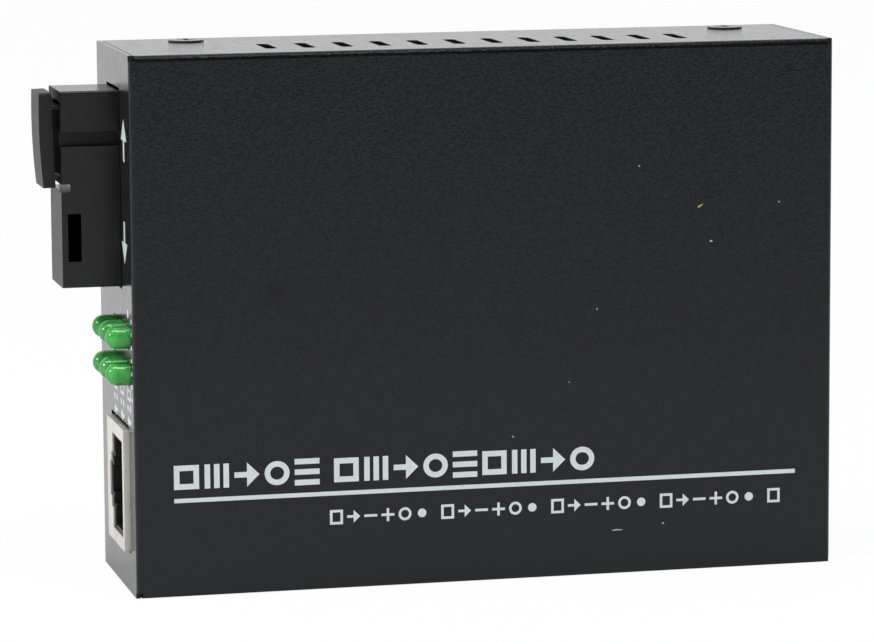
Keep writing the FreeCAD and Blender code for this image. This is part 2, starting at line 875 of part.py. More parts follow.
def make_jack_insert():
    """The moulded insert of the jack, with the socket and a channel for each contact."""
    gap = shield_thick + insert_gap
    half = jack_width / 2 - gap
    points = [
        (jack_near_y + gap, jack_z - half), (jack_near_y + gap, jack_z + half),
        (board_y, jack_z + half), (board_y, jack_z - half),
    ]
    body = prism(
        points, [shield_edge - shield_thick] * 2 + [0, 0],
        on_yz(jack_front_x + gap), Vector(jack_length - 2 * gap, 0, 0),
    )
    socket = socket_outline(0)
    cuts = [sharp_prism(socket, on_yz(jack_front_x), Vector(socket_depth, 0, 0))]
    for i in range(contact_count):
        cuts += contact_slots(i)
    return body.cut(cuts)


def contact_z(i):
    """The z of a contact."""
    return jack_z + (i - (contact_count - 1) / 2) * contact_pitch


def contact_pin_x(i):
    """The x of a contact's pin: every other one stands further back."""
    return jack_front_x + contact_pin_place + (i % 2) * contact_pin_step


def contact_solid(i):
    """One contact: its pin, its back, its run along the roof, its folded nose and its sloping spring."""
    fold_x = jack_front_x + contact_fold
    path = [
        (contact_pin_x(i), tail_y), (contact_pin_x(i), contact_roof_y), (fold_x, contact_roof_y),
        (fold_x - contact_nose, contact_roof_y + contact_nose),
        (fold_x, contact_roof_y + 2 * contact_nose),
        (jack_front_x + contact_tip_back, socket_near_y + contact_tip_drop),
    ]
    points, radii = strip(path, [0] * len(path), contact_thick)
    return prism(points, radii, on_xy(contact_z(i) - contact_width / 2), Vector(0, 0, contact_width))


def contact_slots(i):
    """The comb slot over a contact in the socket's roof, and the channel down its back."""
    half = contact_width / 2 + contact_gap
    low_z, high_z = contact_z(i) - half, contact_z(i) + half
    top_y = contact_roof_y - contact_thick / 2 - contact_gap
    pin_x = contact_pin_x(i)
    reach = contact_thick / 2 + contact_gap
    roof_x = jack_front_x + contact_fold - contact_nose - contact_thick
    return [
        block(roof_x, pin_x, top_y, socket_near_y + contact_gap, low_z, high_z),
        block(pin_x - reach, pin_x + reach, top_y, board_y + overcut, low_z, high_z),
    ]


def make_jack_contacts():
    """The eight sprung contacts of the jack."""
    return Part.makeCompound([contact_solid(i) for i in range(contact_count)])


inlet_bore_y = board_y - inlet_bore_from_board


def inlet_rear_x():
    """The x of the inlet body's back, inside the case."""
    return rear_x + inlet_reach - inlet_length


def inlet_spring_x():
    """The x at which the inlet's spring enters the board."""
    return rear_x + inlet_reach - inlet_spring_place


def make_inlet_body():
    """The moulded inlet: a square collar, a rounder barrel, the bore and the spring's slot."""
    face_x = rear_x + inlet_reach
    collar_points = rectangle(board_y - inlet_height / 2, inlet_z, inlet_height, inlet_width)
    collar = prism(
        collar_points, [inlet_corner, 0, 0, inlet_corner],
        on_yz(face_x - inlet_collar), Vector(inlet_collar, 0, 0),
    )
    narrow = inlet_width - 2 * inlet_waist
    barrel_points = rectangle(
        board_y - (inlet_height - inlet_waist) / 2, inlet_z, inlet_height - inlet_waist, narrow
    )
    barrel = prism(
        barrel_points, [narrow / 2, 0, 0, narrow / 2],
        on_yz(inlet_rear_x()), Vector(inlet_length - inlet_collar, 0, 0),
    )
    forward = Vector(-1, 0, 0)
    mouth = Vector(face_x, inlet_bore_y, inlet_z)
    bore = Part.makeCylinder(inlet_bore / 2, inlet_bore_depth, mouth, forward)
    shank = Part.makeCylinder(inlet_pin / 2 + thread_gap, inlet_length, mouth, forward)
    slot_half = inlet_strip_width / 2 + inlet_strip_gap
    spring_x = inlet_spring_x()
    slot = block(
        spring_x - inlet_strip_thick, spring_x + inlet_spring_run + inlet_strip_thick,
        inlet_bore_y + inlet_pin, board_y + overcut, inlet_z - slot_half, inlet_z + slot_half,
    )
    return join([collar, barrel]).cut([bore, shank, slot])


def make_inlet_pin():
    """The centre pin of the inlet, riveted over at the back."""
    r = inlet_pin / 2
    tip = inlet_length - inlet_pin_back
    back = -inlet_strip_thick
    points = [
        (0, back - inlet_rivet_thick), (inlet_rivet / 2, back - inlet_rivet_thick),
        (inlet_rivet / 2, back), (r, back), (r, tip - r / 2), (r / 2, tip), (0, tip),
    ]
    pin = turned(points, [0] * len(points))
    return stand(pin, Vector(inlet_rear_x(), inlet_bore_y, inlet_z), Vector(1, 0, 0))


def make_inlet_terminal():
    """The flat strip from the riveted pin down to the board, with its narrower tail through it."""
    x = inlet_rear_x() - inlet_strip_thick
    top_y = inlet_bore_y - inlet_rivet / 2 - inlet_strip_thick
    tail_top_y = board_y - inlet_strip_thick
    wide, narrow = inlet_strip_width, inlet_strip_width / 2
    plate = block(x, x + inlet_strip_thick, top_y, tail_top_y, inlet_z - wide, inlet_z + wide)
    tail = block(x, x + inlet_strip_thick, tail_top_y, tail_y, inlet_z - narrow, inlet_z + narrow)
    hole = Part.makeCylinder(
        inlet_pin / 2 + thread_gap, inlet_strip_thick, Vector(x, inlet_bore_y, inlet_z), Vector(1, 0, 0)
    )
    return join([plate, tail]).cut(hole)


def make_inlet_spring():
    """The bent strip that presses on the barrel of a plug."""
    x = inlet_spring_x()
    wall_y = inlet_bore_y + inlet_bore / 2
    path = [
        (x, tail_y), (x, wall_y + inlet_strip_thick),
        (x + inlet_spring_run / 2, wall_y - inlet_spring_rise),
        (x + inlet_spring_run, wall_y + inlet_strip_thick / 2),
    ]
    points, radii = strip(path, [0] * len(path), inlet_strip_thick)
    return prism(points, radii, on_xy(inlet_z - inlet_strip_width / 2), Vector(0, 0, inlet_strip_width))


def package(size, at):
    """A moulded package on the board at a point, narrower above and below its middle."""
    middle = size[2] / 2
    wires = []
    for height, inset in ((package_lift, package_draft), (middle, 0), (size[2], package_draft)):
        points = rectangle(0, 0, size[0] - 2 * inset, size[1] - 2 * inset)
        wires.append(outline(points, [0] * len(points), on_xy(height)))
    shape = Part.makeLoft(wires, True, True)
    return stand_on_board(shape, at)


def stand_on_board(shape, at):
    """A shape drawn upwards from zero, set on the board's component side at a point."""
    turned_shape = shape.copy()
    turned_shape.Placement = FreeCAD.Placement(at, FreeCAD.Rotation(Vector(1, 0, 0), 90))
    return turned_shape


def transformer_point():
    """The middle of the transformer's seat on the board, straight behind the jack."""
    return Vector(jack_rear_x + transformer_behind_jack + transformer_size[0] / 2, board_y, jack_z)


def make_crystal():
    """The flat metal can of the crystal, with its rim."""
    long, wide, tall = crystal_size
    can_long, can_wide = long - 2 * crystal_flange, wide - 2 * crystal_flange
    rim = sharp_prism(rectangle(0, 0, long, wide), on_xy(0), Vector(0, 0, crystal_flange_thick))
    points = rectangle(0, 0, can_long, can_wide)
    can = prism(points, [can_wide / 2] * len(points), on_xy(0), Vector(0, 0, tall))
    return stand_on_board(join([rim, can]), board_point(crystal_place))


def make_capacitor(place):
    """One round capacitor can."""
    can = Part.makeCylinder(capacitor_width / 2, capacitor_height)
    return stand_on_board(can, board_point(place))


def make_inductor():
    """The square shielded inductor, its corners cut back."""
    long, wide, tall = inductor_size
    points = eased(rectangle(0, 0, long, wide), inductor_corner)
    body = sharp_prism(points, on_xy(0), Vector(0, 0, tall))
    return stand_on_board(body, board_point(inductor_place))


def make_regulator():
    """The regulator with the metal tab that it is soldered by."""
    long, wide, tall = regulator_size
    tab_long, tab_wide, tab_thick = regulator_tab
    body = sharp_prism(rectangle(0, 0, long, wide), on_xy(0), Vector(0, 0, tall))
    tab_x = long / 2 + tab_long / 2 - tab_thick
    tab = sharp_prism(rectangle(tab_x, 0, tab_long, tab_wide), on_xy(0), Vector(0, 0, tab_thick))
    return stand_on_board(join([body, tab]), board_point(regulator_place))


def all_parts():
    """Every piece of the converter, by name."""
    parts = {
        "cover": make_cover(),
        "chassis": make_chassis(),
        "cover_screws": make_case_screws(),
        "circuit_board": make_board(),
        "board_standoffs": make_standoffs(),
        "board_screws": make_board_screws(),
        "optic_housing": make_module_housing(),
        "optic_pins": make_module_pins(),
        "ferrule_holder": make_ferrule_holder(),
        "dust_plug": make_dust_plug(),
        "led_leads": make_led_leads(),
        "jack_shield": make_jack_shield(),
        "jack_insert": make_jack_insert(),
        "jack_contacts": make_jack_contacts(),
        "inlet_body": make_inlet_body(),
        "inlet_pin": make_inlet_pin(),
        "inlet_terminal": make_inlet_terminal(),
        "inlet_spring": make_inlet_spring(),
        "network_transformer": package(transformer_size, transformer_point()),
        "converter_chip": package(chip_size, board_point(chip_place)),
        "memory_chip": package(memory_size, board_point(memory_place)),
        "crystal_can": make_crystal(),
        "power_inductor": make_inductor(),
        "voltage_regulator": make_regulator(),
    }
    for name, row in zip(led_row_names, led_rows):
        parts[f"led_holder_{name}"] = make_led_holder(row)
        for i in range(led_count):
            parts[f"led_{name}_{i + 1}"] = make_led(i, row)
    for i, place in enumerate(capacitor_places):
        parts[f"capacitor_{i + 1}"] = make_capacitor(place)
    return parts


os.makedirs("parts", exist_ok=True)
for part_name, part_shape in all_parts().items():
    part_shape.exportStep(f"parts/{part_name}.step")
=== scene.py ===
import math

import bpy
import numpy as np
from mathutils import Matrix, Vector


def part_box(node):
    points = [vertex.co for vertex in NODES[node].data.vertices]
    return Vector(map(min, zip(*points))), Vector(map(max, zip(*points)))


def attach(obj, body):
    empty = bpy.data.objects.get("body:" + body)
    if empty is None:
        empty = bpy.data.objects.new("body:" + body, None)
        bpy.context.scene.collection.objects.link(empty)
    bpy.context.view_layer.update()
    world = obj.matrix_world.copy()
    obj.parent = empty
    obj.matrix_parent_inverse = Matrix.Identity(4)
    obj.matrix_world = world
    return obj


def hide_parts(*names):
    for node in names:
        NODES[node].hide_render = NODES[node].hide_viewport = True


bl_info = {
    "name": "Fibre Media Converter",
    "version": (1, 0, 0),
    "blender": (4, 5, 0),
    "location": "3D View > Sidebar > Converter",
    "description": "Finishes, lamp bodies, printing and studio for a slim fibre media converter",
    "category": "Object",
}

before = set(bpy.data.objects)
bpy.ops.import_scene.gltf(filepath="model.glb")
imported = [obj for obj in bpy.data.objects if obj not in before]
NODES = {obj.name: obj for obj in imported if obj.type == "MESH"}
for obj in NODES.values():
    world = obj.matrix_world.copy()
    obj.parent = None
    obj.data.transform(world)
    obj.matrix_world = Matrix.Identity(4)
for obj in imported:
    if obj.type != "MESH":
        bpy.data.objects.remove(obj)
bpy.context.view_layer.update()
CASE = "case"
MM = 0.001
PAST = Vector((MM, MM, MM))
BLACK = (0.0, 0.0, 0.0, 1.0)
WHITE = (1.0, 1.0, 1.0, 1.0)
IMAGE_WIDTH = 874.0

# The converter's own faces, read from the frame
COVER_LOW, COVER_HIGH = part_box("cover")
PANEL_X = COVER_LOW.x
FACE_Y = COVER_LOW.y
LAMPS = [f"led_{row}_{place}" for row in ("upper", "lower") for place in (1, 2, 3)]


# Node and mesh helpers


def add_node(tree, kind, sockets=None, **settings):
    """Adds a shader node. Sockets are given a value, or another node's output to link."""
    made = tree.nodes.new(kind)
    for name, value in settings.items():
        setattr(made, name, value)
    for name, value in (sockets or {}).items():
        if isinstance(value, bpy.types.NodeSocket):
            tree.links.new(value, made.inputs[name])
        else:
            made.inputs[name].default_value = value
    return made


def new_material(name, shader_values):
    """A material with one Principled shader set to the values. Returns it, its tree and its shader."""
    material = bpy.data.materials.new(name)
    material.use_nodes = True
    tree = material.node_tree
    tree.nodes.clear()
    shader = add_node(tree, "ShaderNodeBsdfPrincipled", shader_values)
    output = add_node(tree, "ShaderNodeOutputMaterial")
    tree.links.new(shader.outputs["BSDF"], output.inputs["Surface"])
    return material, tree, shader


def object_place(tree):
    """The object coordinate, in metres."""
    return add_node(tree, "ShaderNodeTexCoord").outputs["Object"]


def noise(tree, place, size, detail=2.0, rough=0.5):
    """Noise whose features are about this size in metres."""
    return add_node(
        tree, "ShaderNodeTexNoise",
        {"Vector": place, "Scale": 1.0 / size, "Detail": detail, "Roughness": rough},
    ).outputs["Fac"]


def calculate(tree, operation, *values):
    """One math node's value."""
    return add_node(
        tree, "ShaderNodeMath", dict(enumerate(values)), operation=operation,
    ).outputs["Value"]


def spread(tree, value, start, end, low=0.0, high=1.0, **settings):
    """Maps a value's range from start to end onto low to high."""
    return add_node(
        tree, "ShaderNodeMapRange",
        {"Value": value, "From Min": start, "From Max": end, "To Min": low, "To Max": high}, **settings,
    ).outputs["Result"]


def remap(tree, value, low, high):
    """Spreads a 0.3 to 0.7 noise value over low to high."""
    return spread(tree, value, 0.3, 0.7, low, high)


def blend_colours(tree, share, first, second):
    """A colour between two, by share."""
    mix = add_node(tree, "ShaderNodeMix", data_type="RGBA")
    for index, value in ((0, share), (6, first), (7, second)):
        if isinstance(value, bpy.types.NodeSocket):
            tree.links.new(value, mix.inputs[index])
        else:
            mix.inputs[index].default_value = value
    return mix.outputs[2]


def relief(tree, shader, height, depth, strength=1.0, edge=0.0):
    """Bumps the shader's normal by a height whose full range is depth, on edges softened by a radius."""
    sockets = {"Height": height, "Distance": depth, "Strength": strength}
    if edge:
        sockets["Normal"] = add_node(tree, "ShaderNodeBevel", {"Radius": edge}, samples=4).outputs["Normal"]
    bump = add_node(tree, "ShaderNodeBump", sockets)
    tree.links.new(bump.outputs["Normal"], shader.inputs["Normal"])


def opaque(colour, share=1.0):
    """A share of a colour, with full alpha."""
    return (colour[0] * share, colour[1] * share, colour[2] * share, 1.0)


def shade_patch(tree, shader, share, colour, dark, gloss):
    """Paints shade: blends the shader's colour to a dark one and its gloss to nothing, by share."""
    tree.links.new(blend_colours(tree, share, colour, dark), shader.inputs["Base Color"])
    tree.links.new(spread(tree, share, 0.0, 1.0, gloss, 0.0), shader.inputs["Specular IOR Level"])


def dress(names, material):
    """Gives CAD nodes one material."""
    for name in names:
        slots = NODES[name].data.materials
        slots.clear()
        slots.append(material)


def new_piece(name, points, faces, material, body=CASE, smooth_angle=None):
    """A mesh object at the origin, riding on a body. Points are an (n, 3) array in metres."""
    mesh = bpy.data.meshes.new(name)
    mesh.from_pydata(points.tolist(), [], faces)
    mesh.update()
    if smooth_angle is not None:
        mesh.shade_smooth()
        mesh.set_sharp_from_angle(angle=math.radians(smooth_angle))
    piece = bpy.data.objects.new(name, mesh)
    bpy.context.scene.collection.objects.link(piece)
    mesh.materials.append(material)
    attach(piece, body)
    return piece


def grid_faces(rows, columns):
    """Quads between neighbours of a rows by columns grid of points, the columns joined round."""
    row = np.arange(rows - 1)[:, None]
    column = np.arange(columns)[None, :]
    ahead = (column + 1) % columns
    above = row + 1
    quads = np.stack([
        row * columns + column, row * columns + ahead, above * columns + ahead, above * columns + column,
    ], axis=-1)
    return quads.reshape(-1, 4).tolist()


# Finishes, all worked out on the object's own coordinates


def nearness(tree, place, spot, radius):
    """One at a spot, falling smoothly to nothing at the radius."""
    apart = add_node(
        tree, "ShaderNodeVectorMath", {0: place, 1: spot}, operation="DISTANCE",
    ).outputs["Value"]
    return spread(tree, apart, 0.0, radius, 1.0, 0.0, interpolation_type="SMOOTHSTEP")


def coat_material(settings):
    """Near-black powder coat whose fine wrinkle fades towards the foot, with one darker rubbed spot.

    Painted shade: the wrinkle's light and dark are painted into the colour, darker on average towards the
    top. A painted shadow lies as a dark line over the network jack, and painted shade darkens the line where
    the face turns into the top side; both lose their gloss too.
    """
    rough, gloss = settings.coat_roughness, 0.5
    material, tree, shader = new_material("case_coat", {
        "IOR": settings.coat_ior, "Specular Tint": opaque([settings.coat_tint] * 3),
    })
    place = object_place(tree)
    height = add_node(tree, "ShaderNodeSeparateXYZ", {"Vector": place}).outputs["Z"]
    foot, top, faint = 5 * MM, 66 * MM, 0.15
    # Share of the wrinkle's relief and of its painted shade, from faint at the foot to full at the top.
    depth = spread(tree, height, foot, top, faint, 1.0)
    lying = (settings.wrinkle_stretch, 1.0, 1.0)
    drawn = add_node(tree, "ShaderNodeMapping", {"Vector": place, "Scale": lying}).outputs["Vector"]
    wrinkle = noise(tree, drawn, settings.wrinkle_size, 1.0, 0.4)
    # Painted shade: the wrinkle's light and dark are painted into the colour, darker on average than the
    # plain coat.
    painted_wrinkle_shade = blend_colours(
        tree, spread(tree, wrinkle, 0.34, 0.66), opaque(settings.coat_colour, 0.32),
        opaque(settings.coat_colour, 1.2),
    )
    coat_with_painted_shade = blend_colours(tree, depth, opaque(settings.coat_colour), painted_wrinkle_shade)
    spot_place, spot_radius, spot_share = (PANEL_X + 18.5 * MM, FACE_Y, 39.5 * MM), 2.6 * MM, 0.35
    spot = calculate(tree, "MULTIPLY", nearness(tree, place, spot_place, spot_radius), spot_share)
    jack_low, jack_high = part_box("jack_shield")
    # Painted shadow: a dark line over the network jack's opening.
    painted_slit_shadow = within(
        tree, place, (PANEL_X - MM, jack_low.y - 0.3 * MM, jack_high.z),
        (PANEL_X + MM, jack_high.y - 2.2 * MM, jack_high.z + 0.5 * MM),
    )
    # Painted shade along the bend where the face turns into the top side.
    bend_shade_share = 0.6
    painted_bend_shade = within(
        tree, place, (PANEL_X - MM, FACE_Y - MM, COVER_HIGH.z - 0.78 * MM),
        (COVER_HIGH.x, FACE_Y + 0.6 * MM, COVER_HIGH.z - 0.24 * MM),
    )
    # Both painted marks take the colour towards black and the gloss to nothing; the rubbed spot darkens the
    # colour only.
    painted_shade_lines = calculate(tree, "MAXIMUM", calculate(tree, "MULTIPLY", painted_bend_shade, bend_shade_share), painted_slit_shadow)
    dark = calculate(tree, "MAXIMUM", spot, painted_shade_lines)
    tree.links.new(blend_colours(tree, dark, coat_with_painted_shade, BLACK), shader.inputs["Base Color"])
    tree.links.new(spread(tree, painted_shade_lines, 0.0, 1.0, gloss, 0.0), shader.inputs["Specular IOR Level"])
    cloud = noise(tree, place, 2 * MM, 3.0, 0.6)
    tree.links.new(remap(tree, cloud, rough - 0.02, rough + 0.02), shader.inputs["Roughness"])
    relief(tree, shader, wrinkle, settings.wrinkle_depth, depth, edge=0.1 * MM)
    return material


def moulded(name, colour, rough, grain_size, grain_depth, sway=0.1, gloss=0.5, shade_reach=0.0):
    """Moulded plastic with a fine grain, and painted shade darkening its colour in recesses narrower than a
    reach.

    Returns the material, its tree, its shader and its colour.
    """
    material, tree, shader = new_material(name, {"Roughness": rough, "Specular IOR Level": gloss})
    grain = noise(tree, object_place(tree), grain_size, 3.0, 0.6)
    shade = blend_colours(
        tree, remap(tree, grain, 0.0, 1.0), opaque(colour, 1 - sway), opaque(colour, 1 + sway),
    )
    if shade_reach:
        # Painted shade: ambient occlusion darkens the colour in recesses.
        painted_occlusion = add_node(tree, "ShaderNodeAmbientOcclusion", {"Distance": shade_reach}, samples=6)
        shade = blend_colours(tree, calculate(tree, "POWER", painted_occlusion.outputs["AO"], 2.0), BLACK, shade)
    tree.links.new(shade, shader.inputs["Base Color"])
    tree.links.new(remap(tree, grain, rough - 0.05, rough + 0.08), shader.inputs["Roughness"])
    relief(tree, shader, grain, grain_depth, edge=0.1 * MM)
    return material, tree, shader, shade


def moulded_material(*finish):
    """The material alone of a moulded plastic."""
    return moulded(*finish)[0]


def within(tree, place, low, high):
    """One inside the box between two corners and nothing outside."""
    parts = add_node(tree, "ShaderNodeSeparateXYZ", {"Vector": place})
    share = 1.0
    for axis in range(3):
        middle, half = (low[axis] + high[axis]) / 2, (high[axis] - low[axis]) / 2
        hit = calculate(tree, "COMPARE", parts.outputs[axis], middle, half)
        share = calculate(tree, "MULTIPLY", hit, share)
    return share


def module_material(settings):
    """The optical module's moulding: a rougher front face, painted shade round the port and in the side
    window, and painted shade in its recesses.
    """
    gloss, port_height, port_shade_share, front_extra = 0.3, 12.3 * MM, 0.85, 0.22
    material, tree, shader, shade = moulded(
        "optic_plastic", settings.plastic_colour, 0.2, 0.28 * MM, 0.02 * MM, 0.5, gloss, 5 * MM,
    )
    place = object_place(tree)
    low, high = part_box("optic_housing")
    front_skin, beyond = low.x + 0.05 * MM, high + PAST
    front = within(tree, place, low - PAST, (front_skin, beyond.y, beyond.z))
    window = within(
        tree, place, (low.x + 0.8 * MM, low.y + 0.12 * MM, high.z - 22.0 * MM),
        (low.x + 2.5 * MM, low.y + 3.1 * MM, high.z - 15.8 * MM),
    )
    round_port = within(
        tree, place, (low.x - MM, low.y - MM, high.z - port_height), (front_skin, beyond.y, beyond.z),
    )
    # Painted shade: the window's hollow and the front face round the port go near black and lose their gloss.
    painted_port_shade = calculate(tree, "MAXIMUM", window, calculate(tree, "MULTIPLY", round_port, port_shade_share))
    shade_patch(tree, shader, painted_port_shade, shade, (0.0025, 0.0025, 0.0028, 1.0), gloss)
    grain = shader.inputs["Roughness"].links[0].from_socket
    tree.links.new(calculate(tree, "MULTIPLY_ADD", front, front_extra, grain), shader.inputs["Roughness"])
    return material


def plug_material(settings):
    """The dust plug's rubber, with painted shade on its body between the leaning flange and the nose, and in
    its recesses.
    """
    gloss, shade_share = 0.3, 0.7
    material, tree, shader, shade = moulded(
        "plug_rubber", settings.plug_colour, 0.45, 0.28 * MM, 0.02 * MM, 0.4, gloss, 3 * MM,
    )
    place = object_place(tree)
    low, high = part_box("dust_plug")
    lean, flange_reach = math.radians(2.0), 1.77 * MM
    axis = Vector((math.cos(lean), 0.0, math.sin(lean)))
    behind_flange = Vector((low.x + flange_reach, 0.0, (low.z + high.z) / 2))
    along = add_node(
        tree, "ShaderNodeVectorMath", {0: place, 1: axis}, operation="DOT_PRODUCT",
    ).outputs["Value"]
    behind = calculate(tree, "GREATER_THAN", along, behind_flange.dot(axis))
    nose_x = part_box("optic_housing")[0].x
    before_nose = within(tree, place, low - PAST, (nose_x, high.y + MM, high.z + MM))
    # Painted shade on the body behind the flange and short of the nose.
    painted_stem_shade = calculate(tree, "MULTIPLY", calculate(tree, "MULTIPLY", behind, before_nose), shade_share)
    shade_patch(tree, shader, painted_stem_shade, shade, (0.001, 0.001, 0.001, 1.0), gloss)
    return material


def metal_material(name, colour, rough, streak=(1.0, 1.0, 1.0), metallic=1.0):
    """Bare or plated metal, rubbed along one way by stretching its grain."""
    material, tree, shader = new_material(name, {"Metallic": metallic, "Roughness": rough})
    mapping = add_node(tree, "ShaderNodeMapping", {"Vector": object_place(tree), "Scale": streak})
    place = mapping.outputs["Vector"]
    grain = noise(tree, place, 0.25 * MM, 4.0, 0.6)
    cloud = remap(tree, noise(tree, place, 3 * MM, 3.0), 0.0, 1.0)
    shade = blend_colours(tree, cloud, opaque(colour, 0.82), opaque(colour))
    tree.links.new(shade, shader.inputs["Base Color"])
    tree.links.new(remap(tree, grain, rough - 0.06, rough + 0.1), shader.inputs["Roughness"])
    relief(tree, shader, grain, 0.004 * MM, edge=0.05 * MM)
    return material


def board_material():
    """Green solder mask over faint tracks on laminate."""
    material, tree, shader = new_material("board_laminate", {"Roughness": 0.35})
    place = object_place(tree)
    tracks = add_node(
        tree, "ShaderNodeTexVoronoi", {"Vector": place, "Scale": 700.0},
        feature="DISTANCE_TO_EDGE",
    ).outputs["Distance"]
    edge = spread(tree, tracks, 0.05, 0.12)
    shade = blend_colours(tree, edge, (0.03, 0.16, 0.06, 1.0), (0.012, 0.085, 0.032, 1.0))
    tree.links.new(shade, shader.inputs["Base Color"])
    relief(tree, shader, edge, 0.02 * MM)
    return material


def resin_material(settings):
    """Tinted lamp resin, glossy at its skin, with painted shade: darker at its edges seen at a slant, lighter
    where the eye looks through its middle.
    """
    material, tree, shader = new_material("led_green", {
        "Roughness": 0.06, "IOR": 1.5, "Transmission Weight": 0.1,
        "Subsurface Weight": 0.5, "Subsurface Radius": (0.3, 1.0, 0.35), "Subsurface Scale": 0.7 * MM,
    })
    place = object_place(tree)
    cloud = noise(tree, place, 0.9 * MM, 2.0)
    facing = add_node(tree, "ShaderNodeLayerWeight", {"Blend": 0.35}).outputs["Facing"]
    # Painted shade: the resin darkens towards its edges as they turn away from the eye.
    painted_rim_shade = spread(tree, facing, 0.15, 0.75)
    colour = settings.resin_colour
    body = blend_colours(tree, remap(tree, cloud, 0.0, 1.0), opaque(colour, 0.8), opaque(colour, 1.15))
    tree.links.new(blend_colours(tree, painted_rim_shade, body, opaque(colour, 0.42)), shader.inputs["Base Color"])
    relief(tree, shader, cloud, 0.006 * MM)
    return material


def ink_material(settings):
    """Printing ink, slightly broken up by the coat's wrinkle under it."""
    material, tree, shader = new_material("printing_ink", {"Roughness": 0.5})
    place = object_place(tree)
    wear = remap(tree, noise(tree, place, 0.35 * MM, 3.0, 0.7), 0.0, 1.0)
    colour = settings.ink_colour
    shade = blend_colours(tree, wear, opaque(colour, 0.86), opaque(colour))
    tree.links.new(shade, shader.inputs["Base Color"])
    relief(tree, shader, wear, 0.006 * MM)
    return material


# Settings that a user would change


class ConverterFinish(bpy.types.PropertyGroup):
    """Colours and textures of the converter."""

    coat_colour: bpy.props.FloatVectorProperty(
        name="Coat colour", description="Colour of the powder coat", subtype="COLOR",
        default=(0.0132, 0.0141, 0.0161), min=0.0, max=1.0,
    )
    coat_ior: bpy.props.FloatProperty(
        name="Coat index", description="Refractive index of the powder coat", default=1.7, min=1.0, max=2.5,
    )
    coat_roughness: bpy.props.FloatProperty(
        name="Coat roughness", description="Roughness of the powder coat", default=0.17, min=0.03, max=0.9,
    )
    coat_tint: bpy.props.FloatProperty(
        name="Coat facing gloss", description="Share of its gloss that the coat keeps when seen square on",
        default=0.25, min=0.0, max=1.0,
    )
    wrinkle_size: bpy.props.FloatProperty(
        name="Wrinkle size", description="Height of one of the coat's wrinkles", default=0.15 * MM,
        min=0.03 * MM, unit="LENGTH", precision=5,
    )
    wrinkle_stretch: bpy.props.FloatProperty(
        name="Wrinkle stretch", description="Height of a wrinkle over its width", default=0.38, min=0.05,
        max=1.0,
    )
    wrinkle_depth: bpy.props.FloatProperty(
        name="Wrinkle depth", description="Depth of the coat's wrinkles", default=0.03 * MM,
        min=0.0, unit="LENGTH", precision=6,
    )
    plastic_colour: bpy.props.FloatVectorProperty(
        name="Module colour", description="Colour of the optical module's moulding", subtype="COLOR",
        default=(0.0070, 0.0074, 0.0084), min=0.0, max=1.0,
    )
    plug_colour: bpy.props.FloatVectorProperty(
        name="Dust plug colour", description="Colour of the dust plug", subtype="COLOR",
        default=(0.01, 0.0103, 0.011), min=0.0, max=1.0,
    )
    shield_colour: bpy.props.FloatVectorProperty(
        name="Shield colour", description="Colour of the jack's plated shield", subtype="COLOR",
        default=(0.74, 0.72, 0.66), min=0.0, max=1.0,
    )
    resin_colour: bpy.props.FloatVectorProperty(
        name="Lamp colour", description="Colour of the lamps' resin", subtype="COLOR",
        default=(0.06, 0.44, 0.075), min=0.0, max=1.0,
    )
    ink_colour: bpy.props.FloatVectorProperty(
        name="Ink colour", description="Colour of the printing", subtype="COLOR",
        default=(0.71, 0.78, 0.785), min=0.0, max=1.0,
    )


class ConverterPrint(bpy.types.PropertyGroup):
    """Places and sizes of the printing on the big face, from its lower front corner."""

    rule_start: bpy.props.FloatProperty(
        name="Rule start", description="Distance of the rule and the upper row from the front edge",
        default=5.0 * MM, unit="LENGTH", precision=5,
    )
    rule_end: bpy.props.FloatProperty(
        name="Rule end", description="Distance of the rule's end from the front edge",
        default=88.5 * MM, unit="LENGTH", precision=5,
    )
    rule_height: bpy.props.FloatProperty(
        name="Rule height", description="Height of the rule's middle over the underside",
        default=12.65 * MM, unit="LENGTH", precision=5,
    )
    rule_thickness: bpy.props.FloatProperty(
        name="Rule thickness", description="Thickness of the rule", default=0.55 * MM,
        unit="LENGTH", precision=5,
    )
    upper_base: bpy.props.FloatProperty(
        name="Upper row base", description="Height of the upper row's base", default=14.1 * MM,
        unit="LENGTH", precision=5,
    )
    upper_size: bpy.props.FloatProperty(
        name="Upper row size", description="Height of the upper row's shapes", default=3.15 * MM,
        unit="LENGTH", precision=5,
    )
    lower_base: bpy.props.FloatProperty(
        name="Lower row base", description="Height of the lower row's base", default=8.3 * MM,
        unit="LENGTH", precision=5,
    )
    lower_size: bpy.props.FloatProperty(
        name="Lower row size", description="Height of the lower row's shapes", default=2.4 * MM,
        unit="LENGTH", precision=5,
    )
    lower_start: bpy.props.FloatProperty(
        name="Lower row start", description="Distance of the lower row from the front edge",
        default=25.4 * MM, unit="LENGTH", precision=5,
    )


